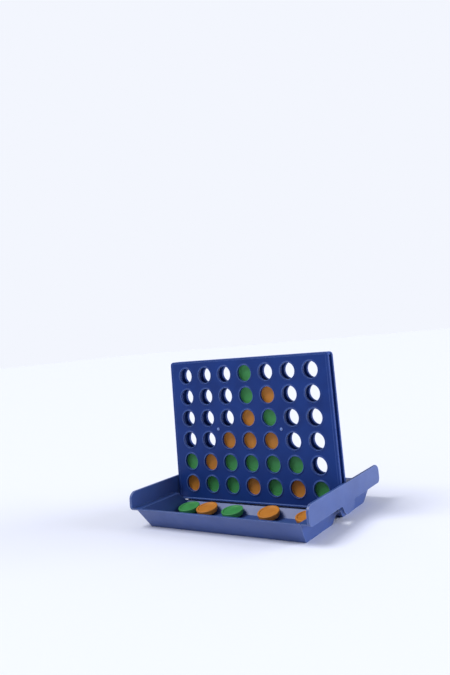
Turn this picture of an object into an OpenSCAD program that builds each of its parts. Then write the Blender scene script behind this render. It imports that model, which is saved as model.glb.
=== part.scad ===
// Travel four in a row game: a low tray carries an upright perforated board on
// two pivot shoes. The board folds flat over the tray, lifts a little in its
// side grooves, and holds counters that drop in through its open top.
// Width runs along X, the player looks along +Y, up is +Z, the table is z = 0.

/* [Counters] */
// Outer diameter of a counter
disc_d = 12.8; // [10:0.1:18]
// Thickness of a counter
disc_t = 2.9; // [2.2:0.1:4]
// How much narrower a counter is at its base than at its rim, on each side
disc_taper = 0.5; // [0.2:0.1:0.8]
// Width of the raised rim around a counter's face
disc_rim = 1.1; // [0.8:0.1:1.6]
// Depth of the dish inside the rim
disc_dish = 0.6; // [0.3:0.1:0.8]

/* [Board] */
// Room at each face of a counter in its column
face_room = 0.3; // [0.15:0.05:0.6]
// Thickness of one panel
panel_wall = 1.4; // [1:0.1:1.5]
// Width of a divider between two columns
divider_w = 1.6; // [1.5:0.1:4]
// Sideways room for a counter in its column, both sides together
column_play = 0.4; // [0.3:0.1:0.9]
// Room between two stacked counters
stack_gap = 0.2; // [0.1:0.05:0.4]
// How far a window's edge overlaps the counter behind it
window_lap = 1.65; // [1:0.05:2.2]
// Width of the raised rim around a window
rim_w = 0.7; // [0.4:0.1:0.9]
// How far the window rims stand proud of the panel
rim_proud = 0.3; // [0.1:0.05:0.4]
// Height of the floor under the lowest counters, above the board's lower edge
rail_h = 3.15; // [2:0.05:5]
// Board above the centres of the top windows
top_border = 9.0; // [7:0.5:14]
// Depth of the groove in each side edge
groove_depth = 3.65; // [3:0.05:6]
// Height of the strip that closes each groove at the top
groove_cap = 1.6; // [1:0.1:3]
// Corner radius of the panels
panel_corner = 2; // [0.5:0.5:3]
// Diameter of the heads of the pins that join the panels
join_head_d = 1.9; // [1.4:0.1:2.4]
// Diameter of the joining pins' shanks, inside the dividers
join_pin_d = 1; // [0.8:0.1:1.2]

/* [Tray] */
// Room that two rows of loose counters leave between the ridge and an end wall
trough_room = 1.45; // [1.2:0.05:8]
// How far the front and back walls lean in from rim to floor
end_lean = 8.6; // [4:0.2:12]
// How far the lower side walls lean in from rim to floor
side_lean = 2.5; // [1:0.1:4]
// Height of the rim and of the side ledges above the table
rim_z = 11.5; // [10:0.5:16]
// Wall thickness of the tray
wall = 1.4; // [1.2:0.1:1.8]
// Height of the side flanges above the ledges
flange_h = 8.9; // [8:0.1:14]
// Width of a side ledge, from lower wall to outer face
ledge_w = 5.25; // [4.9:0.05:8]
// Radius of the flanges' upper corners
flange_top_r = 4; // [1:0.5:4]
// Radius of the flanges' lower corners
flange_low_r = 3; // [1:0.5:4]
// Height of the central ridge above the table
ridge_z = 5.6; // [4:0.1:6.5]
// Half the width of the ridge's flat top
ridge_top = 3; // [2:0.1:5]
// How far each side of the ridge slopes out down to the floor
ridge_run = 4.2; // [2:0.1:8]
// Half the width of the tab that hangs from each flange
tab_half = 6.9; // [5:0.1:8]
// Height of the tab's lower edge above the table
tab_z = 4.7; // [3:0.1:6]

/* [Fits] */
// Room between a flange and the board's side edge
side_room = 0.55; // [0.3:0.05:1]
// Room between the folded board and the rim
fold_room = 0.25; // [0.2:0.05:1]
// Room around the board's lower edge as it swings
swing_room = 0.35; // [0.25:0.05:1]
// Height of the board's lower edge above the ridge
board_room = 1.0; // [0.8:0.1:3]
// Room at each face of a pivot shoe in its groove
shoe_room = 0.1; // [0.05:0.05:0.3]
// Diameter of a pivot shoe's stub
stub_d = 3; // [2:0.1:4]
// Radial room around a stub or a joining pin
pin_room = 0.05; // [0.02:0.01:0.1]
// Depth of the blind socket in the flange
socket_depth = 0.9; // [0.5:0.1:1]
// Room under a loose counter and beside the ridge that it leans on
lie_room = 0.08; // [0.05:0.01:0.2]

/* [Hidden] */
$fn = 64;
cut = 0.01;

// Counters in each column from the bottom up: g is green, o is orange
columns = ["og", "go", "ggo", "ogoogg", "ggogo", "og", "g"];
rows = 6;
last = len(columns) - 1;

// Counters that lean on the front of the ridge: place across the trough as a
// share of its half-width, height of the back edge as a share of the slope,
// colour
front_spares = [[-0.86, 0.43, "g"], [-0.59, 0.52, "o"], [-0.21, 0.4, "g"],
                [0.28, 0.65, "o"], [0.78, 0.48, "o"]];
// Colours of the counters that lie in the rear trough, in two rows
rear_spares = ["goggogo", "oogoogg"];
// Their room beside the walls, and how far they stray from a straight row
spare_room = 0.8;
spare_wander = 0.38;
// Counters stacked on those: number of the one below, colour
stacked_spares = [[3, "o"], [12, "o"]];
// How far a stacked counter lies off the one below
stack_shift = 1.2;

disc_r = disc_d / 2;
row_pitch = disc_d + stack_gap;
col_pitch = disc_d + column_play + divider_w;
window_r = disc_r - window_lap;
slot_t = disc_t + 2 * face_room;
board_t = slot_t + 2 * panel_wall;

half_dividers = col_pitch * (last + 1) / 2 + divider_w / 2;
board_half = half_dividers + groove_depth;
board_z = ridge_z + board_room;
floor_in_board = board_z + rail_h;
first_z = floor_in_board + disc_r + lie_room * 2;
board_top = first_z + row_pitch * (rows - 1) + top_border;
// Height of the strip that closes each groove at the bottom
groove_floor = 1.6;
// Distance from the board's ends to the ends of the dividers
divider_inset = 1;
// Height of the lip along the board's lower edge
lip_h = 0.8;

flange_in = board_half + side_room;
flange_out = flange_in + wall;
flange_top = rim_z + flange_h;
flange_low = rim_z - wall;
side_rim = flange_out - ledge_w;
side_floor = side_rim - side_lean;
ridge_foot = ridge_top + ridge_run;
floor_y = ridge_foot + 2 * disc_d + trough_room + wall;
rim_y = floor_y + end_lean;

pivot_z = rim_z + fold_room + rim_proud + board_t / 2;
swing_r = norm([pivot_z - board_z, board_t / 2 + rim_proud]) + swing_room;
// Half the height of a pivot shoe, and its room at the groove's floor and
// at the flange
shoe_half_h = 2.2;
shoe_in = half_dividers + 0.3;
shoe_gap = 0.15;

// Sideways width of a sloping wall of the given thickness
function across(t, run, rise) = t * norm([run, rise]) / rise;
end_w = across(wall, end_lean, rim_z);
side_w = across(wall, side_lean, rim_z);
ridge_rise = ridge_z - wall;
ridge_w = across(wall, ridge_run, ridge_rise);
arch_foot = ridge_foot - ridge_w + wall * ridge_run / ridge_rise;
trough_half = side_floor - wall;

// Position of a column's centre, with columns counted from 0
function col_x(c) = (c - last / 2) * col_pitch;
function row_z(r) = first_z + r * row_pitch;

// Place of the joining pins, in dividers between the middle rows
join_x = 1.5 * col_pitch;
join_z = (row_z(rows / 2 - 1) + row_z(rows / 2)) / 2;

function names(stem, n) = [for (i = [1:n]) str(stem, i)];
board_discs = [for (c = [0:last]) for (r = [0:len(columns[c]) - 1])
               str("disc_c", c + 1, "_r", r + 1)];
rear_count = len(rear_spares[0]);

// ---------------------------------------------------------------- counters

// One counter lying on its base: tapered edge, raised rim, a dish on each face
module counter(colour) {
    base_r = disc_r - disc_taper;
    ease = 0.3;
    color(colour == "g" ? "seagreen" : "coral")
        rotate_extrude()
            polygon([
                [0, disc_dish / 2],
                [base_r - disc_rim - disc_dish, disc_dish / 2],
                [base_r - disc_rim, 0],
                [base_r - ease / 2, 0],
                [base_r, ease / 2],
                [disc_r, disc_t - 2 * ease],
                [disc_r, disc_t - ease],
                [disc_r - ease, disc_t],
                [disc_r - disc_rim, disc_t],
                [disc_r - disc_rim - disc_dish, disc_t - disc_dish],
                [0, disc_t - disc_dish]]);
}

// A counter standing in the board, its face to the player
module board_disc(c, r) {
    translate([col_x(c), disc_t / 2, row_z(r)])
        rotate([90, 0, 0])
            counter(columns[c][r]);
}

// A counter whose back edge rests on the slope of the ridge
module front_disc(spare) {
    base_d = disc_d - 2 * disc_taper;
    rise = spare[1] * ridge_rise;
    tilt = asin(rise / base_d);
    back_y = -ridge_foot + ridge_run * rise / ridge_rise - lie_room;
    translate([spare[0] * trough_half, back_y, wall + rise + lie_room])
        rotate([tilt, 0, 0])
            translate([0, -base_d / 2, 0])
                counter(spare[2]);
}

// Place of a counter lying flat behind the ridge, in two loose rows
function rear_place(i) =
    let (row = floor(i / rear_count),
         end_room = disc_r + spare_room,
         step = 2 * (trough_half - end_room) / (rear_count - 1),
         near_y = ridge_foot + end_room,
         far_y = floor_y - wall - disc_r + spare_wander - lie_room)
    [-trough_half + end_room + (i % rear_count) * step,
     (row == 0 ? near_y : far_y) + spare_wander * sin(i * 137),
     wall + lie_room];

module rear_disc(i) {
    flat = 2 * rear_count;
    if (i < flat)
        translate(rear_place(i))
            counter(rear_spares[floor(i / rear_count)][i % rear_count]);
    else
        translate(rear_place(stacked_spares[i - flat][0] - 1)
                  + [stack_shift, -stack_shift / 2, disc_t + lie_room])
            counter(stacked_spares[i - flat][1]);
}

// ------------------------------------------------------------------- board

module panel_outline() {
    h = board_top - board_z;
    w = 2 * board_half - 2 * panel_corner;
    translate([-board_half, board_z])
        union() {
            translate([panel_corner, 0]) square([w, h]);
            translate([0, panel_corner])
                square([2 * board_half, h - 2 * panel_corner]);
            for (x = [panel_corner, 2 * board_half - panel_corner])
                for (z = [panel_corner, h - panel_corner])
                    translate([x, z]) circle(panel_corner);
        }
}

// Runs children at every window's centre, with the axis turned to +Y
module at_windows() {
    for (c = [0:last])
        for (r = [0:rows - 1])
            translate([col_x(c), 0, row_z(r)])
                rotate([-90, 0, 0])
                    children();
}

// Half the depth of the dividers, the floor rail and the groove ends
module divider_halves() {
    deep = slot_t / 2;
    for (i = [0:last + 1])
        translate([(i - (last + 1) / 2) * col_pitch - divider_w / 2, 0,
                   board_z + divider_inset])
            cube([divider_w, deep, board_top - board_z - 2 * divider_inset]);
    translate([-half_dividers, 0, board_z])
        cube([2 * half_dividers, deep, rail_h]);
    for (side = [-1, 1]) {
        x = side * (half_dividers + groove_depth / 2);
        width = groove_depth - panel_corner / 2;
        translate([x - side * panel_corner / 4 - width / 2, 0, board_z])
            cube([width, deep, groove_floor]);
        translate([x - side * panel_corner / 4 - width / 2, 0, board_top - groove_cap])
            cube([width, deep, groove_cap]);
    }
}

// A panel with its outer face at +Y; the front one is the same shape turned
module panel() {
    outer = board_t / 2;
    difference() {
        union() {
            translate([0, outer, 0])
                rotate([90, 0, 0])
                    linear_extrude(panel_wall) panel_outline();
            translate([0, outer - cut, 0])
                at_windows()
                    cylinder(h = rim_proud + cut, r1 = window_r + rim_w,
                             r2 = window_r + rim_w - rim_proud);
            translate([-board_half + panel_corner, outer - cut, board_z])
                cube([2 * (board_half - panel_corner), rim_proud + cut, lip_h]);
            divider_halves();
        }
        translate([0, slot_t / 2 - cut, 0])
            at_windows()
                cylinder(h = panel_wall + rim_proud + 2 * cut, r = window_r);
        for (side = [-1, 1])
            translate([side * join_x, -cut, join_z])
                rotate([-90, 0, 0])
                    cylinder(h = outer + 1, d = join_pin_d + 2 * pin_room);
    }
}

module rear_panel() {
    color("royalblue") panel();
}

module front_panel() {
    color("royalblue") rotate([0, 0, 180]) panel();
}

// A pin through both panels, in a divider beside the centre columns
module joining_pin(side) {
    half_len = board_t / 2 + rim_proud;
    ease = 0.2;
    color("lightsteelblue")
        translate([side * join_x, 0, join_z])
            rotate([90, 0, 0])
                rotate_extrude()
                    polygon([
                        [0, -half_len],
                        [join_head_d / 2 - ease, -half_len],
                        [join_head_d / 2, -half_len + ease],
                        [join_head_d / 2, -board_t / 2],
                        [join_pin_d / 2, -board_t / 2],
                        [join_pin_d / 2, board_t / 2],
                        [join_head_d / 2, board_t / 2],
                        [join_head_d / 2, half_len - ease],
                        [join_head_d / 2 - ease, half_len],
                        [0, half_len]]);
}

// A flat-sided shoe that slides in the board's groove and turns in the flange
module pivot_shoe(side) {
    thick = slot_t - 2 * shoe_room;
    outer = flange_in - shoe_gap;
    color("lightsteelblue")
        mirror([side < 0 ? 1 : 0, 0, 0])
            union() {
                translate([shoe_in, -thick / 2, pivot_z - shoe_half_h])
                    cube([outer - shoe_in, thick, 2 * shoe_half_h]);
                translate([outer - cut, 0, pivot_z])
                    rotate([0, 90, 0])
                        cylinder(h = shoe_gap + socket_depth - pin_room + cut, d = stub_d);
            }
}

// -------------------------------------------------------------------- tray

// Side view of the tray's outside, with the arch under the ridge
module side_outside() {
    polygon([[-rim_y, rim_z], [-floor_y, 0], [-arch_foot, 0],
             [-arch_foot + ridge_run, ridge_rise], [arch_foot - ridge_run, ridge_rise],
             [arch_foot, 0], [floor_y, 0], [rim_y, rim_z]]);
}

// Side view of the room inside, over the floor and the ridge
module side_inside() {
    in_floor = floor_y - end_w + end_lean * wall / rim_z;
    in_rim = rim_y - end_w;
    polygon([[-in_rim, rim_z + cut], [-in_rim, rim_z], [-in_floor, wall],
             [-ridge_foot, wall], [-ridge_top, ridge_z], [ridge_top, ridge_z],
             [ridge_foot, wall], [in_floor, wall], [in_rim, rim_z],
             [in_rim, rim_z + cut]]);
}

// Front view of the tray between its lower side walls, drawn in by inset
module front_view(inset) {
    polygon([[-side_rim + inset, rim_z + 1], [-side_rim + inset, rim_z],
             [-side_floor + inset, 0], [side_floor - inset, 0],
             [side_rim - inset, rim_z], [side_rim - inset, rim_z + 1]]);
}

// Turns a drawing in Y and Z into a bar along X, centred on the middle
module along_x(length) {
    rotate([90, 0, 90])
        translate([0, 0, -length / 2])
            linear_extrude(length) children();
}

// Turns a drawing in X and Z into a bar along Y, centred on the middle
module along_y(length) {
    rotate([90, 0, 0])
        translate([0, 0, -length / 2])
            linear_extrude(length) children();
}

// The side flange from the side: round corners and a tab that hangs below
module flange_outline(tab) {
    low = flange_low;
    high = flange_top;
    tab_r = 5;
    root_r = 2;
    for (m = [0, 1])
        mirror([m, 0]) {
            translate([0, low]) square([rim_y - flange_low_r, flange_h + wall]);
            translate([0, low + flange_low_r])
                square([rim_y, flange_h + wall - flange_low_r - flange_top_r]);
            translate([0, high - flange_top_r - cut])
                square([rim_y - flange_top_r, flange_top_r + cut]);
            translate([rim_y - flange_low_r, low + flange_low_r]) circle(flange_low_r);
            translate([rim_y - flange_top_r, high - flange_top_r]) circle(flange_top_r);
            if (tab) {
                translate([0, tab_z]) square([tab_half - tab_r, low - tab_z + cut]);
                translate([0, tab_z + tab_r])
                    square([tab_half, low - tab_z - tab_r + cut]);
                translate([tab_half - tab_r, tab_z + tab_r])
                    intersection() {
                        circle(tab_r);
                        translate([0, -tab_r]) square([tab_r, tab_r]);
                    }
                difference() {
                    translate([tab_half - cut, low - root_r])
                        square([root_r + cut, root_r + cut]);
                    translate([tab_half + root_r, low - root_r]) circle(root_r);
                }
            }
        }
}

module tray() {
    color("cornflowerblue")
        difference() {
            union() {
                difference() {
                    intersection() {
                        along_x(2 * side_rim) side_outside();
                        along_y(2 * rim_y + 2) front_view(0);
                    }
                    intersection() {
                        along_x(2 * side_rim) side_inside();
                        along_y(2 * rim_y + 2) front_view(side_w);
                    }
                }
                for (side = [-1, 1]) {
                    translate([side * (flange_in + wall / 2), 0, 0])
                        along_x(wall) flange_outline(true);
                    ledge_in = side_rim - side_w;
                    ledge_len = flange_in + cut - ledge_in;
                    translate([side * (ledge_in + ledge_len / 2), 0, 0])
                        intersection() {
                            along_x(ledge_len) flange_outline(false);
                            translate([-ledge_len / 2 - cut, -rim_y, flange_low])
                                cube([ledge_len + 2 * cut, 2 * rim_y, wall]);
                        }
                }
            }
            // Room for the board's lower edge to swing, and the stubs' sockets
            for (side = [-1, 1]) {
                room_in = side_floor - side_w - 1;
                translate([side * (room_in + flange_in) / 2, 0, 0])
                    along_x(flange_in - room_in) swing_outline();
                translate([side * (flange_in - cut), 0, pivot_z])
                    rotate([0, side * 90, 0])
                        cylinder(h = socket_depth + cut, d = stub_d + 2 * pin_room);
            }
        }
}

// The circle that the board's lower edge sweeps, above the ridge
module swing_outline() {
    intersection() {
        translate([0, pivot_z]) circle(swing_r);
        translate([-swing_r, ridge_z]) square([2 * swing_r, rim_z - ridge_z + 1]);
    }
    translate([-ridge_top, ridge_z]) square([2 * ridge_top, rim_z - ridge_z + 1]);
}

// ------------------------------------------------------------------- nodes

tray();
front_panel();
rear_panel();
joining_pin(-1);  // joining_pin_left
joining_pin(1);  // joining_pin_right
pivot_shoe(-1);  // pivot_shoe_left
pivot_shoe(1);  // pivot_shoe_right
for (c = [0:last])
    for (r = [0:len(columns[c]) - 1])
        board_disc(c, r);
for (i = [1:len(front_spares)])
    front_disc(front_spares[i - 1]);
for (i = [1:2 * rear_count + len(stacked_spares)])
    rear_disc(i - 1);
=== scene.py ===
"""Travel four in a row game: the looks of every piece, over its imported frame.

A low tray carries an upright board of two perforated panels on two pivot shoes.
Counters stand in the board's columns and lie in the tray's two troughs. Each
piece is a surface worked out in millimetres and dressed in a moulded plastic.
Width runs along X, the player looks along +Y, up is +Z and the table is z = 0.
"""

from __future__ import annotations

import logging
import math
from dataclasses import dataclass, field
from enum import Enum

import bmesh
import bpy
import numpy as np
from mathutils import Matrix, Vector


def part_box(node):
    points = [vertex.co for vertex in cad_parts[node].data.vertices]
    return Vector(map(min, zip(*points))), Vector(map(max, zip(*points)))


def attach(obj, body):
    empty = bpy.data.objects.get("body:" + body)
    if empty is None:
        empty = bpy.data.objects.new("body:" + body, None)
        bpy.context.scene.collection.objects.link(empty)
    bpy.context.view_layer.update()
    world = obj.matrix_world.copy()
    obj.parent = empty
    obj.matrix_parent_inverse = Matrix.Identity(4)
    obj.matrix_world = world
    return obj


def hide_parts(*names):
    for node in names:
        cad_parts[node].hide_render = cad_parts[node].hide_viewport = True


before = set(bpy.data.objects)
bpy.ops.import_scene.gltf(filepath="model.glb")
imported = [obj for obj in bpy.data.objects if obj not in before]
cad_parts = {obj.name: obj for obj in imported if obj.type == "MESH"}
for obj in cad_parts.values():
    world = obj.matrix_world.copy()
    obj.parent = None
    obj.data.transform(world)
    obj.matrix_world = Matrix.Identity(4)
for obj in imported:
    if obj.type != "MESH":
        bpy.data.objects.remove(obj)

LOG = logging.getLogger("four_in_a_row")
MM = 0.001
WELD = 1e-6
TRACE = 1e-6


# ---------------------------------------------------------------- surfaces


@dataclass
class Shell:
    """A surface in millimetres: points, and faces with four corners each.

    A face may have two corners in one place. It turns into a triangle when the
    points are welded.
    """

    points: np.ndarray
    faces: np.ndarray

    def placed(self, turn: np.ndarray | None = None, move: tuple = (0, 0, 0)) -> Shell:
        """Return the shell turned by a 3x3 matrix, then moved."""
        turn = np.eye(3) if turn is None else turn
        return Shell(self.points @ turn.T + np.array(move, float), self.faces)

    @staticmethod
    def joined(shells: list[Shell]) -> Shell:
        """Return one shell that holds all the given ones."""
        counts = [0] + [len(shell.points) for shell in shells[:-1]]
        starts = np.cumsum(counts)
        return Shell(
            np.concatenate([shell.points for shell in shells]),
            np.concatenate([s.faces + start for s, start in zip(shells, starts)]),
        )

    def to_mesh(self, crease_deg: float = 38.0) -> bpy.types.Mesh:
        """Weld the shell into a closed mesh in metres, with its faces outward.

        Args:
            crease_deg: Edges sharper than this angle keep a hard line.

        Returns:
            The mesh, with its place in the row frame in its points.
        """
        mesh = bpy.data.meshes.new("surface")
        mesh.from_pydata((self.points * MM).tolist(), [], self.faces.tolist())
        weld_and_orient(mesh)
        mesh.shade_smooth()
        mesh.set_sharp_from_angle(angle=math.radians(crease_deg))
        return mesh


def weld_and_orient(mesh: bpy.types.Mesh) -> None:
    """Merge the points that share a place, then turn every face outward."""
    work = bmesh.new()
    work.from_mesh(mesh)
    bmesh.ops.remove_doubles(work, verts=work.verts, dist=WELD)
    bmesh.ops.dissolve_degenerate(work, edges=work.edges, dist=WELD)
    bmesh.ops.recalc_face_normals(work, faces=work.faces)
    work.to_mesh(mesh)
    work.free()


def keep_walls_flat(mesh: bpy.types.Mesh, limit_deg: float) -> None:
    """Shade flat walls flat and the facets of round corners smoothly.

    The normal at a face's corner is the sum of area times normal over the
    faces round that corner that lie within the limit of the face, scaled to
    length 1.

    Args:
        mesh: A welded mesh.
        limit_deg: Greatest angle between faces that are shaded as one.
    """
    corners, faces = len(mesh.loops), len(mesh.polygons)
    vertex, sides = np.empty(corners, np.int32), np.empty(faces, np.int32)
    normal, area = np.empty(faces * 3), np.empty(faces)
    mesh.loops.foreach_get("vertex_index", vertex)
    mesh.polygons.foreach_get("loop_total", sides)
    mesh.polygons.foreach_get("normal", normal)
    mesh.polygons.foreach_get("area", area)
    normal = normal.reshape(-1, 3)
    face = np.repeat(np.arange(faces), sides)
    by_vertex = np.argsort(vertex, kind="stable")
    met = np.bincount(vertex)
    first_met = np.cumsum(met) - met
    # Pair every corner with every corner at its vertex.
    pairs = met[vertex]
    one = np.repeat(np.arange(corners), pairs)
    turn = np.arange(pairs.sum()) - np.repeat(np.cumsum(pairs) - pairs, pairs)
    other = by_vertex[first_met[vertex[one]] + turn]
    level = (normal[face[one]] * normal[face[other]]).sum(axis=1)
    near = level > math.cos(math.radians(limit_deg))
    share = (near * area[face[other]])[:, None] * normal[face[other]]
    # A trace of the face's own normal keeps a needle of a face from having none.
    total = normal[face] * area.max() * TRACE
    np.add.at(total, one, share)
    total /= np.linalg.norm(total, axis=1, keepdims=True)
    mesh.normals_split_custom_set(total.tolist())


def lattice(points: np.ndarray, ring: bool = False) -> Shell:
    """Join lattices of points into faces with four corners.

    Point (i, j) is joined to (i, j + 1), (i + 1, j + 1) and (i + 1, j).

    Args:
        points: Array of shape (..., rows, columns, 3). Leading axes hold
            separate lattices of the same size.
        ring: Whether the last column joins the first.

    Returns:
        The shell of all the lattices.
    """
    rows, cols = points.shape[-3:-1]
    index = np.arange(rows * cols).reshape(rows, cols)
    if ring:
        index = np.concatenate([index, index[:, :1]], axis=1)
    corners = np.stack(
        [index[:-1, :-1], index[:-1, 1:], index[1:, 1:], index[1:, :-1]], axis=-1
    ).reshape(1, -1, 4)
    flat = points.reshape(-1, rows * cols, 3)
    first = np.arange(len(flat)).reshape(-1, 1, 1) * rows * cols
    return Shell(flat.reshape(-1, 3), (corners + first).reshape(-1, 4))


def eased(path: np.ndarray, radii: np.ndarray | float, steps: int = 4) -> np.ndarray:
    """Round the corners of an open path, and keep its two ends.

    Corner P between points A and B gives way to the curve
    (1 - t)^2 S + 2 t (1 - t) P + t^2 E, where S and E lie on PA and PB, at the
    radius from P or at 45% of the shorter side, whichever is less.

    Args:
        path: Points of the path, shape (n, 2).
        radii: Radius of each inner corner, or one for all.
        steps: Spans in each rounded corner.

    Returns:
        The rounded path, shape (m, 2).
    """
    path = np.asarray(path, float)
    corner, before, after = path[1:-1], path[:-2], path[2:]
    back, ahead = before - corner, after - corner
    back_len = np.linalg.norm(back, axis=1, keepdims=True)
    ahead_len = np.linalg.norm(ahead, axis=1, keepdims=True)
    reach = np.broadcast_to(np.asarray(radii, float), (len(corner),)).reshape(-1, 1)
    reach = np.minimum(reach, 0.45 * np.minimum(back_len, ahead_len))
    start = (corner + back / back_len * reach)[:, None]
    end = (corner + ahead / ahead_len * reach)[:, None]
    t = np.linspace(0, 1, steps + 1).reshape(1, -1, 1)
    curve = (1 - t) ** 2 * start + 2 * t * (1 - t) * corner[:, None] + t**2 * end
    return np.concatenate([path[:1], curve.reshape(-1, 2), path[-1:]])


def turned(profile: np.ndarray, around: int = 48) -> Shell:
    """Turn a profile of (radius, height) about Z.

    A point at angle a is (radius cos a, radius sin a, height).

    Args:
        profile: The profile, shape (n, 2), from axis to axis.
        around: Number of points round the axis.

    Returns:
        The closed shell.
    """
    angle = np.arange(around) * 2 * np.pi / around
    radius, height = profile[:, :1], profile[:, 1:]
    points = np.stack(
        [
            radius * np.cos(angle),
            radius * np.sin(angle),
            height * np.ones_like(angle),
        ],
        axis=-1,
    )
    return lattice(points, ring=True)


def soft_block(low: tuple, high: tuple, radius: float, steps: int = 2) -> Shell:
    """Make a block with round edges from six lattices, one for each side.

    A point p on the sharp block moves to c + radius (p - c) / |p - c|, where c
    is the nearest point of the block shrunk by the radius.

    Args:
        low: Lowest corner.
        high: Highest corner.
        radius: Radius of every edge.
        steps: Spans across half of a rounded edge.

    Returns:
        The closed shell.
    """
    low, high = np.array(low, float), np.array(high, float)
    half, centre = (high - low) / 2, (high + low) / 2
    inner = half - radius
    outset = radius * np.tan(np.linspace(0, np.pi / 4, steps + 1))
    lines = [
        np.concatenate([-(size + outset)[::-1], size + outset]) for size in inner
    ]
    sides = []
    for axis in range(3):
        u, v = (axis + 1) % 3, (axis + 2) % 3
        grid = np.zeros((len(lines[u]), len(lines[v]), 3))
        grid[..., u], grid[..., v] = np.meshgrid(lines[u], lines[v], indexing="ij")
        for side in (-1, 1):
            face = grid.copy()
            face[..., axis] = side * half[axis]
            core = np.clip(face, -inner, inner)
            away = face - core
            away /= np.linalg.norm(away, axis=-1, keepdims=True)
            sides.append(lattice(core + radius * away + centre))
    return Shell.joined(sides)


def about_x(degrees: float) -> np.ndarray:
    """Return the matrix of a turn about X."""
    c, s = math.cos(math.radians(degrees)), math.sin(math.radians(degrees))
    return np.array([[1, 0, 0], [0, c, -s], [0, s, c]])


HALF_TURN_Z = np.diag([-1.0, -1.0, 1.0])
Z_TO_X = np.array([[0.0, 0.0, 1.0], [1.0, 0.0, 0.0], [0.0, 1.0, 0.0]])


# --------------------------------------------------------------- materials


def linear(colour: str) -> tuple[float, float, float, float]:
    """Turn an sRGB hex colour into linear red, green, blue and alpha."""
    code = colour.lstrip("#")
    srgb = np.array([int(code[i : i + 2], 16) for i in (0, 2, 4)]) / 255
    value = np.where(srgb <= 0.04045, srgb / 12.92, ((srgb + 0.055) / 1.055) ** 2.4)
    return (*value.tolist(), 1.0)


def add_node(
    tree: bpy.types.NodeTree, kind: str, settings: dict | None = None,
    links: dict | None = None,
) -> bpy.types.Node:
    """Add a node with its settings and links.

    Args:
        tree: The node tree.
        kind: Blender's name for the kind of node.
        settings: Properties by name, and input values by name or number.
        links: Output sockets by the name or number of the input they feed.

    Returns:
        The new node.
    """
    node = tree.nodes.new(kind)
    for key, value in (settings or {}).items():
        if isinstance(key, str) and key not in node.inputs:
            setattr(node, key, value)
        else:
            node.inputs[key].default_value = value
    for key, source in (links or {}).items():
        tree.links.new(source, node.inputs[key])
    return node


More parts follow.
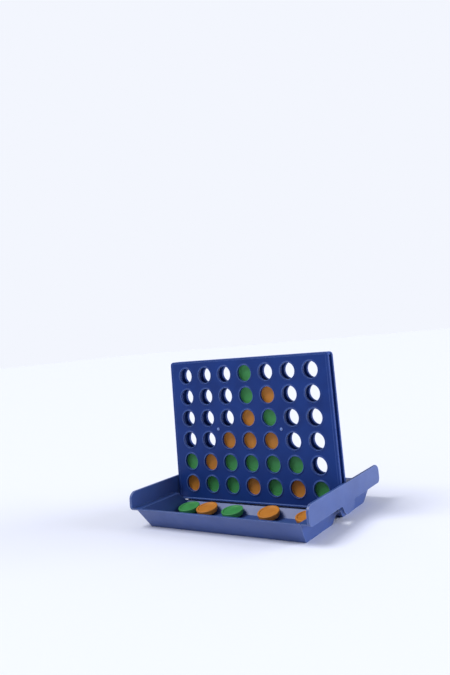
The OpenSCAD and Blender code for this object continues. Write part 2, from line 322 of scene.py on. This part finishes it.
@dataclass(frozen=True)
class MouldedPlastic:
    """A plastic coloured right through and injection moulded.

    Attributes:
        name: What it is and how it was made.
        slot: The record's material slot; not used.
        pigment: Main colour.
        flow: Colour of the faint bands where the melt ran slower.
        edge_polish_and_highlight_colour: Edge colour: polish from handling plus a painted
            highlight.
        roughness: Roughness of an untouched face.
        ior: Index of refraction.
        gloss_level: Strength of the gloss, 0.5 for a clean smooth skin.
        flow_mm: Size of the flow bands.
        grain_mm: Size of the mould's texture.
        grain_depth_mm: Depth of the mould's texture.
        edge_polish_and_highlight_strength: Strength of that edge colour, from 0 to 1.
        flow_noise: Levels of noise between which pigment gives way to flow.
        edge_facing: Cosines between which a face gives way to its edge colour.
        smear_noise: Levels of noise between which the roughness rises.
        soft_edge_mm: Round that the shading gives to sharp edges, or 0 where
            the mesh has its own round edges.
        edge_polish_and_highlight_mm: How far the edge colour and its painted highlight
            reach over a face.
        smear_mm: Size of the smears that hands leave.
        scuff_mm: Width of a scuff.
        scuff_stretch: A scuff's width over its length.
        scuff_share: Strength of the scuffs against the smears.
        polish: How much smoother than its roughness a face gets.
        haze: How much rougher than its roughness a face gets.
        sink_mm: Size of the slow waves where the wall shrank in the mould.
        sink_depth_mm: Depth of those waves.
    """

    name: str
    slot: str
    pigment: str
    flow: str
    edge_polish_and_highlight_colour: str
    roughness: float
    ior: float
    gloss_level: float
    flow_mm: float
    grain_mm: float
    grain_depth_mm: float
    edge_polish_and_highlight_strength: float
    flow_noise: tuple[float, float] = (0.38, 0.68)
    edge_facing: tuple[float, float] = (0.995, 0.85)
    smear_noise: tuple[float, float] = (0.45, 0.95)
    soft_edge_mm: float = 0.0
    edge_polish_and_highlight_mm: float = 0.6
    smear_mm: float = 9.0
    scuff_mm: float = 0.4
    scuff_stretch: float = 0.05
    scuff_share: float = 0.35
    polish: float = 0.05
    haze: float = 0.09
    sink_mm: float = 11.0
    sink_depth_mm: float = 0.05

    def material(self) -> bpy.types.Material:
        """Return the Blender material, made once and then shared."""
        found = bpy.data.materials.get(self.name)
        if found:
            return found
        made = bpy.data.materials.new(self.name)
        made.use_nodes = True
        tree = made.node_tree
        tree.nodes.clear()
        shader = add_node(
            tree,
            "ShaderNodeBsdfPrincipled",
            {"IOR": self.ior, "Specular IOR Level": self.gloss_level},
        )
        place = add_node(tree, "ShaderNodeTexCoord").outputs["Object"]
        tree.links.new(self._colour(tree, place), shader.inputs["Base Color"])
        tree.links.new(self._roughness(tree, place), shader.inputs["Roughness"])
        tree.links.new(self._bump(tree, place), shader.inputs["Normal"])
        add_node(
            tree,
            "ShaderNodeOutputMaterial",
            links={"Surface": shader.outputs["BSDF"]},
        )
        return made

    def _colour(
        self, tree: bpy.types.NodeTree, place: bpy.types.NodeSocket
    ) -> bpy.types.NodeSocket:
        """Mix pigment with flow bands, then lighten the edges: polish plus painted
        highlight.
        """
        bands = add_node(
            tree,
            "ShaderNodeTexNoise",
            {"Scale": 1 / (self.flow_mm * MM), "Detail": 3.0, "Distortion": 0.6},
            {"Vector": place},
        )
        low, high = self.flow_noise
        band_share = add_node(
            tree,
            "ShaderNodeMapRange",
            {"From Min": low, "From Max": high, "To Min": 0.0, "To Max": 1.0},
            {"Value": bands.outputs["Fac"]},
        )
        body = add_node(
            tree,
            "ShaderNodeMix",
            {"data_type": "RGBA", 6: linear(self.pigment), 7: linear(self.flow)},
            {0: band_share.outputs["Result"]},
        )
        # An edge shows where the normal, averaged over a reach, leaves the face.
        reach = {"samples": 4, "Radius": self.edge_polish_and_highlight_mm * MM}
        edge_normal = add_node(tree, "ShaderNodeBevel", reach)
        face_normal = add_node(tree, "ShaderNodeNewGeometry")
        facing = add_node(
            tree,
            "ShaderNodeVectorMath",
            {"operation": "DOT_PRODUCT"},
            {0: edge_normal.outputs["Normal"], 1: face_normal.outputs["Normal"]},
        )
        flat, rounded = self.edge_facing
        edge = add_node(
            tree,
            "ShaderNodeMapRange",
            {"From Min": flat, "From Max": rounded, "To Min": 0.0, "To Max": self.edge_polish_and_highlight_strength},
            {"Value": facing.outputs["Value"]},
        )
        # Lighten the edges, partly as polish from handling, partly as a painted highlight.
        return add_node(
            tree,
            "ShaderNodeMix",
            {"data_type": "RGBA", 7: linear(self.edge_polish_and_highlight_colour)},
            {0: edge.outputs["Result"], 6: body.outputs[2]},
        ).outputs[2]

    def _roughness(
        self, tree: bpy.types.NodeTree, place: bpy.types.NodeSocket
    ) -> bpy.types.NodeSocket:
        """Vary the roughness with handling smears and with fine scuffs."""
        smears = add_node(
            tree,
            "ShaderNodeTexNoise",
            {"Scale": 1 / (self.smear_mm * MM), "Detail": 4.0},
            {"Vector": place},
        )
        # Scuffs are long and thin, and lie aslant.
        aslant = add_node(
            tree,
            "ShaderNodeMapping",
            {"Rotation": (0.5, 0.9, 0.4), "Scale": (1.0, self.scuff_stretch, 1.0)},
            {"Vector": place},
        )
        scuffs = add_node(
            tree,
            "ShaderNodeTexNoise",
            {"Scale": 1 / (self.scuff_mm * MM), "Detail": 2.0},
            {"Vector": aslant.outputs["Vector"]},
        )
        both = add_node(
            tree,
            "ShaderNodeMath",
            {"operation": "MULTIPLY_ADD", 1: self.scuff_share},
            {0: scuffs.outputs["Fac"], 2: smears.outputs["Fac"]},
        )
        low, high = self.smear_noise
        return add_node(
            tree,
            "ShaderNodeMapRange",
            {
                "From Min": low,
                "From Max": high,
                "To Min": self.roughness - self.polish,
                "To Max": self.roughness + self.haze,
            },
            {"Value": both.outputs["Value"]},
        ).outputs["Result"]

    def _bump(
        self, tree: bpy.types.NodeTree, place: bpy.types.NodeSocket
    ) -> bpy.types.NodeSocket:
        """Emboss the mould's fine texture over a slow sink of the wall."""
        sink = add_node(
            tree,
            "ShaderNodeTexNoise",
            {"Scale": 1 / (self.sink_mm * MM), "Detail": 1.0},
            {"Vector": place},
        )
        waves = add_node(
            tree,
            "ShaderNodeBump",
            {"Strength": 0.5, "Distance": self.sink_depth_mm * MM},
            {"Height": sink.outputs["Fac"]},
        )
        if self.soft_edge_mm:
            settings = {"samples": 6, "Radius": self.soft_edge_mm * MM}
            edge = add_node(tree, "ShaderNodeBevel", settings)
            tree.links.new(edge.outputs["Normal"], waves.inputs["Normal"])
        grain = add_node(
            tree,
            "ShaderNodeTexNoise",
            {"Scale": 1 / (self.grain_mm * MM), "Detail": 2.0, "Roughness": 0.6},
            {"Vector": place},
        )
        return add_node(
            tree,
            "ShaderNodeBump",
            {"Strength": 0.6, "Distance": self.grain_depth_mm * MM},
            {"Height": grain.outputs["Fac"], "Normal": waves.outputs["Normal"]},
        ).outputs["Normal"]


class Plastic(Enum):
    """The plastics of the set."""

    # High impact polystyrene from a lightly textured mould: mid blue, with a
    # broad soft gloss that whitens at a shallow angle. Its pigment is lighter
    # than the board's as painted light on the same plastic.
    TRAY = MouldedPlastic(
        name="polystyrene_injection_moulded_tray_blue",
        slot="tray_blue",
        pigment="#35508f",
        flow="#304985",
        # Edge colour: polish from handling, and a painted highlight.
        edge_polish_and_highlight_colour="#8299cc",
        roughness=0.4,
        ior=1.59,
        gloss_level=0.5,
        flow_mm=26.0,
        grain_mm=0.45,
        grain_depth_mm=0.012,
        edge_polish_and_highlight_strength=0.45,
        soft_edge_mm=0.35,
    )
    # The same polystyrene from a duller mould. Its pigment is darker than the
    # tray's as painted shade on the same plastic: it reads as an even dark field
    # with thin pale rims, which are polish plus a painted highlight.
    BOARD = MouldedPlastic(
        name="polystyrene_injection_moulded_board_blue",
        slot="board_blue",
        pigment="#1a387c",
        flow="#173170",
        # Edge colour: polish from handling, and a painted highlight.
        edge_polish_and_highlight_colour="#7d9bdc",
        roughness=0.42,
        ior=1.59,
        gloss_level=0.12,
        flow_mm=22.0,
        grain_mm=0.4,
        grain_depth_mm=0.01,
        edge_polish_and_highlight_strength=0.65,
    )
    # Acetal, which slides well: paler than the panels, with a waxy highlight.
    PIN = MouldedPlastic(
        name="acetal_injection_moulded_pin_blue",
        slot="pin_blue",
        pigment="#6f88c4",
        flow="#6580bb",
        # Edge colour: polish from handling, and a painted highlight.
        edge_polish_and_highlight_colour="#a9bbe2",
        roughness=0.26,
        ior=1.48,
        gloss_level=0.5,
        flow_mm=6.0,
        grain_mm=0.3,
        grain_depth_mm=0.004,
        edge_polish_and_highlight_strength=0.5,
    )
    # Polypropylene from a spark-eroded mould: a soft, slightly mottled green.
    GREEN = MouldedPlastic(
        name="polypropylene_injection_moulded_counter_green",
        slot="green_counter",
        pigment="#3e934d",
        flow="#388745",
        # Edge colour: polish from handling, and a painted highlight.
        edge_polish_and_highlight_colour="#74b082",
        roughness=0.5,
        ior=1.49,
        gloss_level=0.4,
        flow_mm=5.0,
        grain_mm=0.35,
        grain_depth_mm=0.012,
        edge_polish_and_highlight_strength=0.35,
    )
    # The same polypropylene with an orange pigment: warm and semi-matt.
    ORANGE = MouldedPlastic(
        name="polypropylene_injection_moulded_counter_orange",
        slot="orange_counter",
        pigment="#c57f2a",
        flow="#ba7324",
        # Edge colour: polish from handling, and a painted highlight.
        edge_polish_and_highlight_colour="#dda468",
        roughness=0.5,
        ior=1.49,
        gloss_level=0.4,
        flow_mm=5.0,
        grain_mm=0.35,
        grain_depth_mm=0.012,
        edge_polish_and_highlight_strength=0.35,
    )


def finish_piece(
    node: str, mesh: bpy.types.Mesh, body: str, plastic: Plastic
) -> bpy.types.Object:
    """Put a finished mesh in the scene, dressed, on its body.

    Args:
        node: CAD node that the piece stands for and is named after.
        mesh: Its mesh, in the row frame.
        body: Body that it rides on.
        plastic: What it is moulded in.

    Returns:
        The new object.
    """
    name = node + "_moulding"
    mesh.name = name
    piece = bpy.data.objects.new(name, mesh)
    bpy.context.scene.collection.objects.link(piece)
    mesh.materials.clear()
    mesh.materials.append(plastic.value.material())
    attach(piece, body)
    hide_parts(node)
    LOG.info("%s: %d faces, on body %s", name, len(mesh.polygons), body)
    return piece


# -------------------------------------------------------------------- tray


@dataclass
class Tray:
    """The tray, one moulding with two troughs, two flanges and a ridge.

    Its walls, notches and sockets are the frame's own. Its edges are as thin
    as a mould's parting edge, so their round is left to the plastic's shading.
    """

    shaded_as_one_deg: float = 20.0

    def build(self) -> None:
        """Copy the frame's tray, weld it and keep its walls flat."""
        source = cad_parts["tray"]
        mesh = source.data.copy()
        weld_and_orient(mesh)
        mesh.shade_smooth()
        keep_walls_flat(mesh, self.shaded_as_one_deg)
        finish_piece("tray", mesh, "tray", Plastic.TRAY)


# ------------------------------------------------------------------- board


@dataclass(frozen=True)
class WindowGrid:
    """Where the windows are, as (x, z) in millimetres, and so the counters."""

    columns: int = 7
    rows: int = 6
    column_pitch: float = 14.8
    row_pitch: float = 13.0
    first_row: float = 16.31

    def centres(self) -> np.ndarray:
        """Return the centre of each window, column by column, from below."""
        x = (np.arange(self.columns) - (self.columns - 1) / 2) * self.column_pitch
        z = self.first_row + np.arange(self.rows) * self.row_pitch
        return np.stack(np.meshgrid(x, z, indexing="ij"), axis=-1)


@dataclass
class Board:
    """Two panels back to back, with the columns for the counters between.

    All sizes are in millimetres. A panel is worked out with its outer face
    towards +Y, and the front one is turned half round about Z.

    Attributes:
        field_face: Depth of the sunk field round the windows.
        slot_face: Depth of the inner face, along which the counters slide.
        rim_foot: How far the rim of a window flares at its foot.
        foot_run: Width of the fillet between that foot and the field.
        flare: Width of the ring round a window on the slot side.
        edge_width: Width of the raised edge round the field.
        edge_slope: Width of the slope from that edge down to the field.
        back_round: Round of the outline's inner edge, as a share of the wall.
        even_inset: Inset up to which the edge is as wide above as at the sides.
        narrowing: Share of any inset beyond that which is kept above and below.
        sunk: How far a divider or a strip goes into the plate.
        strip_inset: How far a groove's end strip goes into the outer divider.
        pin_dome: Radius of a pin's end at each depth below its crown.
        pin_neck: Radius of the pin inside the plates.
        pin_seat: Length of the slope from its head to its neck.
        pin_height: Rows between the lowest window and a joining pin.
        pin_column: Columns between the board's middle and a joining pin.
    """

    grid: WindowGrid = WindowGrid()
    half_width: float = 56.25
    bottom: float = 6.6
    top: float = 90.31
    corner: float = 2.0
    outer_face: float = 3.15
    field_face: float = 3.03
    slot_face: float = 1.75
    window_radius: float = 4.75
    rim_width: float = 0.7
    rim_height: float = 0.3
    rim_foot: float = 0.08
    foot_run: float = 0.35
    foot_round: float = 0.2
    rim_round: float = 0.22
    flare: float = 0.5
    flare_round: float = 0.2
    edge_width: float = 1.5
    edge_slope: float = 0.16
    slope_foot_round: float = 0.08
    slope_top_round: float = 0.12
    back_round: float = 0.15
    even_inset: float = 0.35
    narrowing: float = 0.45
    edge_radius: float = 0.3
    divider_half: float = 0.8
    divider_inset: float = 1.0
    rail_height: float = 3.15
    groove_end: float = 1.6
    groove_depth: float = 3.65
    lip_height: float = 0.8
    sunk: float = 0.2
    divider_round: float = 0.18
    strip_round: float = 0.15
    strip_inset: float = 0.4
    lip_round: float = 0.2
    pin_radius: float = 0.95
    pin_dome: tuple[tuple[float, float], ...] = ((0.0, 0.0), (0.55, 0.04), (0.85, 0.16))
    pin_round: float = 0.15
    pin_neck: float = 0.5
    pin_seat: float = 0.1
    pin_height: float = 2.5
    pin_column: float = 1.5
    cell_spans: int = 8
    corner_spans: int = 6

    def build(self) -> None:
        """Make both panels and the pins that join them."""
        panel = self._panel()
        for name, turn in (("front_panel", HALF_TURN_Z), ("rear_panel", None)):
            finish_piece(name, panel.placed(turn).to_mesh(), "board", Plastic.BOARD)
        for side, name in ((-1, "joining_pin_left"), (1, "joining_pin_right")):
            finish_piece(name, self._pin(side).to_mesh(), "board", Plastic.PIN)

    def _panel(self) -> Shell:
        """Return one panel: its windowed plate, dividers, rail and lip."""
        return Shell.joined(
            [self._windows(), self._border(), *self._dividers(), *self._strips()]
        )

    def _windows(self) -> Shell:
        """Return every window with its share of both faces of the plate.

        A window's surface is a lattice of rings. The first and last rings run
        round the oblong cell, on the outer and the slot side, and the rings
        between are circles of (radius, depth) that climb the raised rim, go
        through the plate and flare out at the slot.
        """
        spans = self.cell_spans
        side = np.linspace(-1, 1, spans + 1)[:-1]
        one = np.ones(spans)
        oblong = np.concatenate(
            [
                np.stack([one, side], -1),
                np.stack([-side, one], -1),
                np.stack([-one, -side], -1),
                np.stack([side, -one], -1),
            ]
        ) * [self.grid.column_pitch / 2, self.grid.row_pitch / 2]
        angle = -np.pi / 4 + np.arange(4 * spans) * 2 * np.pi / (4 * spans)
        circle = np.stack([np.cos(angle), np.sin(angle)], -1)

        hole = self.window_radius
        crest = self.outer_face + self.rim_height
        foot = hole + self.rim_width + self.rim_foot
        rim = eased(
            np.array(
                [
                    [foot + self.foot_run, self.field_face],
                    [foot, self.field_face],
                    [hole + self.rim_width - self.rim_height, crest],
                    [hole, crest],
                    [hole, self.slot_face],
                    [hole + self.flare, self.slot_face],
                ]
            ),
            np.array([self.foot_round, self.rim_round, self.rim_round, self.flare_round]),
            steps=3,
        )
        rings = [self._ring(oblong, self.field_face)]
        rings += [self._ring(circle * radius, depth) for radius, depth in rim]
        rings += [self._ring(oblong, self.slot_face)]
        cell = np.stack(rings)
        centres = self.grid.centres().reshape(-1, 2)
        place = np.stack([centres[:, 0], np.zeros(len(centres)), centres[:, 1]], -1)
        return lattice(cell[None] + place[:, None, None], ring=True)

    @staticmethod
    def _ring(outline: np.ndarray, depth: float) -> np.ndarray:
        """Lay a closed outline of (x, z) at a depth along Y."""
        return np.stack(
            [outline[:, 0], np.full(len(outline), depth), outline[:, 1]], axis=-1
        )

    def _oblong(self, half_x: float, low: float, high: float, radius: float) -> np.ndarray:
        """Return a closed outline with round corners, as (x, z).

        Each straight side has as many spans as the windows beside it, and each
        corner a quarter circle, which shrinks to a point at radius 0.

        Args:
            half_x: Half the width.
            low: Lowest height.
            high: Greatest height.
            radius: Radius of the corners.
        """
        across = np.linspace(-1, 1, self.grid.columns * self.cell_spans + 1)
        along = np.linspace(-1, 1, self.grid.rows * self.cell_spans + 1)
        mid, half_z = (low + high) / 2, (high - low) / 2
        quarter = np.linspace(0, np.pi / 2, self.corner_spans + 1)[1:-1]
        arc = np.stack([np.sin(quarter), -np.cos(quarter)], -1) * radius
        inner_x, inner_z = half_x - radius, half_z - radius
        bottom = np.stack([across * inner_x, np.full(len(across), -half_z)], -1)
        right = np.stack([np.full(len(along), half_x), along * inner_z], -1)
        low_right = arc + [inner_x, -inner_z]
        high_right = np.stack([-arc[:, 1], arc[:, 0]], -1) + [inner_x, inner_z]
        half = np.concatenate([bottom, low_right, right, high_right])
        return np.concatenate([half, -half]) + [0, mid]

    def _border(self) -> Shell:
        """Return the plate's border: its raised edge, its rim and its back.

        A profile of (inset from the outline, depth) is carried round the
        oblong outline. Its two ends lie on the outline of the windows' cells.
        """
        cells_x = self.grid.columns * self.grid.column_pitch / 2
        cells_low = self.grid.first_row - self.grid.row_pitch / 2
        cells_high = cells_low + self.grid.rows * self.grid.row_pitch
        wall = self.outer_face - self.slot_face
        slope = self.edge_width + self.edge_slope
        edge = eased(
            np.array(
                [
                    [slope + 1.5 * self.edge_slope, self.field_face],
                    [slope, self.field_face],
                    [self.edge_width, self.outer_face],
                    [0.0, self.outer_face],
                    [0.0, self.slot_face],
                    [0.6, self.slot_face],
                ]
            ),
            np.array(
                [
                    self.slope_foot_round,
                    self.slope_top_round,
                    self.edge_radius,
                    self.back_round * wall,
                ]
            ),
            steps=4,
        )
        cells = self._oblong(cells_x, cells_low, cells_high, 0)
        rings = [self._ring(cells, self.field_face)]
        for inset, depth in edge:
            # The border is narrower above and below than at the sides.
            beyond = max(inset - self.even_inset, 0)
            level = min(inset, self.even_inset) + self.narrowing * beyond
            outline = self._oblong(
                self.half_width - inset,
                self.bottom + level,
                self.top - level,
                max(self.corner - inset, 0.3),
            )
            rings.append(self._ring(outline, depth))
        rings.append(self._ring(cells, self.slot_face))
        return lattice(np.stack(rings), ring=True)

    def _dividers(self) -> list[Shell]:
        """Return this panel's half of each divider between the columns."""
        columns = self.grid.columns
        edges = (np.arange(columns + 1) - columns / 2) * self.grid.column_pitch
        return [
            soft_block(
                (x - self.divider_half, 0.0, self.bottom + self.divider_inset),
                (
                    x + self.divider_half,
                    self.slot_face + self.sunk,
                    self.top - self.divider_inset,
                ),
                self.divider_round,
            )
            for x in edges.tolist()
        ]

    def _strips(self) -> list[Shell]:
        """Return the rail, the lip and the strips that close the grooves."""
        rail_half = self.grid.columns * self.grid.column_pitch / 2 + self.divider_half
        sunk = self.slot_face + self.sunk
        rail = soft_block(
            (-rail_half, 0.0, self.bottom),
            (rail_half, sunk, self.bottom + self.rail_height),
            self.strip_round,
        )
        lip = soft_block(
            (
                -self.half_width + self.corner,
                self.outer_face - self.rim_height,
                self.bottom,
            ),
            (
                self.half_width - self.corner,
                self.outer_face + self.rim_height,
                self.bottom + self.lip_height,
            ),
            self.lip_round,
        )
        inner = rail_half - self.strip_inset
        outer = rail_half + self.groove_depth - self.corner / 2
        strips = [rail, lip]
        for low in (self.bottom, self.top - self.groove_end):
            for near, far in ((inner, outer), (-outer, -inner)):
                strips.append(
                    soft_block(
                        (near, 0.0, low),
                        (far, sunk, low + self.groove_end),
                        self.strip_round,
                    )
                )
        return strips

    def _pin(self, side: int) -> Shell:
        """Return the joining pin on one side, with a low dome at each end.

        Args:
            side: -1 for the left pin and 1 for the right one.

        Returns:
            The pin, between the third and fourth windows from below.
        """
        reach = self.outer_face + self.rim_height
        head = np.array(
            [
                *((radius, depth - reach) for radius, depth in self.pin_dome),
                (self.pin_radius, -self.field_face),
                (self.pin_neck, self.pin_seat - self.field_face),
            ]
        )
        path = np.concatenate([head, (head * [1, -1])[::-1]])
        profile = eased(path, self.pin_round, steps=3)
        height = self.grid.first_row + self.pin_height * self.grid.row_pitch
        place = (side * self.pin_column * self.grid.column_pitch, 0, height)
        return turned(profile, around=24).placed(about_x(90), place)


@dataclass
class PivotShoes:
    """The two flat-sided shoes that the board turns and slides on."""

    inner: float = 52.9
    outer: float = 56.65
    half_thick: float = 1.65
    half_high: float = 2.2
    pivot_height: float = 15.2
    stub_radius: float = 1.5
    stub_end: float = 57.65
    stub_sunk: float = 0.5
    block_round: float = 0.3
    stub_round: float = 0.2

    def build(self) -> None:
        """Make both shoes, each a soft block with a turned stub."""
        block = soft_block(
            (self.inner, -self.half_thick, self.pivot_height - self.half_high),
            (self.outer, self.half_thick, self.pivot_height + self.half_high),
            self.block_round,
            steps=3,
        )
        reach = self.stub_end - self.outer
        profile = eased(
            np.array(
                [
                    [0.0, -self.stub_sunk],
                    [self.stub_radius, -self.stub_sunk],
                    [self.stub_radius, reach],
                    [0.0, reach],
                ]
            ),
            self.stub_round,
        )
        stub = turned(profile, around=32).placed(
            Z_TO_X, (self.outer, 0, self.pivot_height)
        )
        right = Shell.joined([block, stub])
        for name, turn in (("pivot_shoe_right", None), ("pivot_shoe_left", HALF_TURN_Z)):
            finish_piece(name, right.placed(turn).to_mesh(), "pivots", Plastic.PIN)


# ---------------------------------------------------------------- counters


@dataclass
class Counters:
    """The 42 counters: in the board, on the ridge's slope and behind it.

    All sizes are in millimetres. A counter lies on its base at z = 0, a little
    narrower there than at its rim, with a dish in each face.

    Attributes:
        taper: How much less the radius is at the base than at the rim.
        full_from: Share of the thickness at which the radius is full.
        dish: Depth of the top's dish.
        step_from: Width of the ring round the dish before its step.
        step_run: Width of that step.
        step_share: Share of the dish's depth above the step.
        rounds: Radius of each corner of the section, from the base to the top.
        room: Gap between a leaning counter and the slope.
        leaning: Place across the trough as a share of its half-width, rise as
            a share of the ridge's, and colour of each leaning counter.
        lying: Colours of the counters behind the ridge.
    """

    radius: float = 6.4
    thick: float = 2.9
    taper: float = 0.5
    full_from: float = 0.72
    rim: float = 1.1
    dish: float = 0.6
    step_from: float = 1.35
    step_run: float = 0.2
    step_share: float = 0.85
    rounds: tuple[float, ...] = (0.25, 0.25, 0.3, 0.5, 0.4, 0.4, 0.35, 0.12, 0.12)
    # Colours in each column, from below: g for green and o for orange.
    board_columns: tuple[str, ...] = ("og", "go", "ggo", "ogoogg", "ggogo", "og", "g")
    grid: WindowGrid = WindowGrid()
    trough_half: float = 49.05
    wall: float = 1.4
    ridge_foot: float = 7.2
    ridge_run: float = 4.2
    ridge_rise: float = 4.2
    room: float = 0.08
    leaning: tuple[tuple[float, float, str], ...] = (
        (-0.86, 0.43, "g"), (-0.59, 0.52, "o"), (-0.21, 0.4, "g"),
        (0.28, 0.65, "o"), (0.78, 0.48, "o"),
    )
    lying: str = "goggogooogooggoo"
    plastics: dict[str, Plastic] = field(
        default_factory=lambda: {"g": Plastic.GREEN, "o": Plastic.ORANGE}
    )

    def build(self) -> None:
        """Make every counter."""
        one = turned(self._profile(), around=56)
        self._in_board(one)
        self._on_slope(one)
        self._behind(one)

    def _profile(self) -> np.ndarray:
        """Return the section from the middle of the base to that of the top.

        The top face has a rim, a dish and, in the dish, a ring step; the base
        has a rim and a shallow dish.
        """
        low = self.radius - self.taper
        inner = self.radius - self.rim
        step = inner - self.step_from
        ledge = self.thick - self.dish * self.step_share
        path = np.array(
            [
                [0.0, self.dish / 2],
                [low - self.rim - self.dish, self.dish / 2],
                [low - self.rim, 0.0],
                [low, 0.0],
                [self.radius, self.thick * self.full_from],
                [self.radius, self.thick],
                [inner, self.thick],
                [inner - self.dish / 2, ledge],
                [step, ledge],
                [step - self.step_run, self.thick - self.dish],
                [0.0, self.thick - self.dish],
            ]
        )
        return eased(path, np.array(self.rounds), steps=4)

    def _add(self, node: str, body: str, colour: str, shell: Shell) -> None:
        """Finish one counter that stands for one node."""
        finish_piece(node, shell.to_mesh(), body, self.plastics[colour])

    def _in_board(self, one: Shell) -> None:
        """Stand counters in the columns, with their tops to the player."""
        centres = self.grid.centres()
        for c, column in enumerate(self.board_columns):
            for r, colour in enumerate(column):
                x, z = centres[c, r].tolist()
                self._add(
                    f"disc_c{c + 1}_r{r + 1}",
                    f"column_{c + 1}",
                    colour,
                    one.placed(about_x(90), (x, self.thick / 2, z)),
                )

    def _on_slope(self, one: Shell) -> None:
        """Lean counters on the front slope of the ridge."""
        base = 2 * (self.radius - self.taper)
        for i, (across, share, colour) in enumerate(self.leaning, start=1):
            rise = share * self.ridge_rise
            tilt = math.degrees(math.asin(rise / base))
            back = -self.ridge_foot + self.ridge_run * rise / self.ridge_rise - self.room
            hung = one.placed(move=(0, -base / 2, 0))
            place = (across * self.trough_half, back, self.wall + rise + self.room)
            name = f"front_disc_{i}"
            self._add(name, name, colour, hung.placed(about_x(tilt), place))

    def _behind(self, one: Shell) -> None:
        """Lay counters where the frame has them, behind the ridge."""
        for i, colour in enumerate(self.lying, start=1):
            name = f"rear_disc_{i}"
            low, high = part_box(name)
            place = ((low.x + high.x) / 2 / MM, (low.y + high.y) / 2 / MM, low.z / MM)
            self._add(name, name, colour, one.placed(move=place))


# ------------------------------------------------------------------ studio


@dataclass
class SoftLight:
    """A distant, broad light that shines along one direction.

    Attributes:
        name: Name of the light.
        toward: Direction from the set to the light.
        strength: Light on a face turned to it, in watts per square metre.
        spread_deg: Angle that the light fills, which softens its shadows.
        colour: Its colour.
    """

    name: str
    toward: tuple[float, float, float]
    strength: float
    spread_deg: float
    colour: str

    def build(self) -> None:
        """Add the light, turned to the set."""
        data = bpy.data.lights.new(self.name, "SUN")
        data.energy = self.strength
        data.angle = math.radians(self.spread_deg)
        data.color = linear(self.colour)[:3]
        lamp = bpy.data.objects.new(self.name, data)
        bpy.context.scene.collection.objects.link(lamp)
        back = np.array(self.toward) / np.linalg.norm(self.toward)
        side = np.cross([0.0, 1.0, 0.0], back)
        side /= np.linalg.norm(side)
        axes = np.eye(4)
        axes[:3, :3] = np.stack([side, np.cross(back, side), back], axis=1)
        axes[:3, 3] = back
        lamp.matrix_world = Matrix(axes.tolist())


@dataclass
class Studio:
    """A pale table under soft light, and the camera."""

    table_half: float = 6.0
    table_lines: int = 9
    table_colour: str = "#e6e9f5"
    table_roughness: float = 0.9
    table_gloss: float = 0.15
    sky_colour: str = "#eef1fb"
    sky_strength: float = 0.46
    backdrop_colour: str = "#f3f6fe"
    camera_place: tuple[float, float, float] = (0.2092, -0.3085, 0.1024)
    yaw_deg: float = -31.27
    pitch_deg: float = -6.96
    roll_deg: float = -5.26
    lens: float = 32.82
    shift: tuple[float, float] = (-0.0637, -0.1157)
    lights: tuple[SoftLight, ...] = (
        SoftLight("front_left_softbox", (-0.4, -0.5, 0.95), 2.2, 30.0, "#ffffff"),
        SoftLight("right_softbox", (0.92, 0.38, 0.16), 3.9, 50.0, "#f4f6ff"),
    )

    def build(self) -> None:
        """Make the table, the lights, the sky and the camera."""
        self._table()
        for light in self.lights:
            light.build()
        self._sky()
        self._camera()
        bpy.context.scene.view_settings.view_transform = "Standard"

    def _table(self) -> None:
        """Lay a plain lattice at z = 0 in matt card."""
        line = np.linspace(-self.table_half, self.table_half, self.table_lines) / MM
        x, y = np.meshgrid(line, line, indexing="ij")
        sheet = lattice(np.stack([x, y, np.zeros_like(x)], -1))
        mesh = bpy.data.meshes.new("table")
        mesh.from_pydata((sheet.points * MM).tolist(), [], sheet.faces[:, ::-1].tolist())
        card = bpy.data.materials.new("matt_card_table")
        card.use_nodes = True
        shader = card.node_tree.nodes["Principled BSDF"]
        shader.inputs["Base Color"].default_value = linear(self.table_colour)
        shader.inputs["Roughness"].default_value = self.table_roughness
        shader.inputs["Specular IOR Level"].default_value = self.table_gloss
        mesh.materials.append(card)
        table = bpy.data.objects.new("table", mesh)
        bpy.context.scene.collection.objects.link(table)

    def _sky(self) -> None:
        """Surround the set with soft light and a pale, even backdrop."""
        world = bpy.data.worlds.new("pale_studio")
        world.use_nodes = True
        tree = world.node_tree
        tree.nodes.clear()
        light = add_node(
            tree,
            "ShaderNodeBackground",
            {"Color": linear(self.sky_colour), "Strength": self.sky_strength},
        )
        backdrop = add_node(
            tree,
            "ShaderNodeBackground",
            {"Color": linear(self.backdrop_colour), "Strength": 1.0},
        )
        seen = add_node(tree, "ShaderNodeLightPath").outputs["Is Camera Ray"]
        both = add_node(
            tree,
            "ShaderNodeMixShader",
            links={0: seen, 1: light.outputs[0], 2: backdrop.outputs[0]},
        )
        add_node(tree, "ShaderNodeOutputWorld", links={"Surface": both.outputs[0]})
        bpy.context.scene.world = world

    def _camera(self) -> None:
        """Place the camera from its yaw, pitch and roll."""
        yaw, pitch, roll = (
            math.radians(a) for a in (self.yaw_deg, self.pitch_deg, self.roll_deg)
        )
        ahead = np.array(
            [
                math.sin(yaw) * math.cos(pitch),
                math.cos(yaw) * math.cos(pitch),
                -math.sin(pitch),
            ]
        )
        level = np.array([math.cos(yaw), -math.sin(yaw), 0.0])
        upright = np.cross(level, ahead)
        right = math.cos(roll) * level + math.sin(roll) * upright
        up = -math.sin(roll) * level + math.cos(roll) * upright
        axes = np.eye(4)
        axes[:3, :3] = np.stack([right, up, -ahead], axis=1)
        axes[:3, 3] = self.camera_place
        data = bpy.data.cameras.new("view_camera")
        data.sensor_width = 36.0
        data.lens = self.lens
        data.shift_x, data.shift_y = self.shift
        camera = bpy.data.objects.new("view_camera", data)
        bpy.context.scene.collection.objects.link(camera)
        camera.matrix_world = Matrix(axes.tolist())
        bpy.context.scene.camera = camera


def main() -> None:
    """Build each sub-assembly in order, then the studio."""
    logging.basicConfig(level=logging.INFO, format="%(name)s %(message)s")
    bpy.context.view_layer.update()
    for part in (Tray(), Board(), PivotShoes(), Counters(), Studio()):
        LOG.info("building %s", type(part).__name__)
        part.build()


if __name__ == "__main__":
    main()
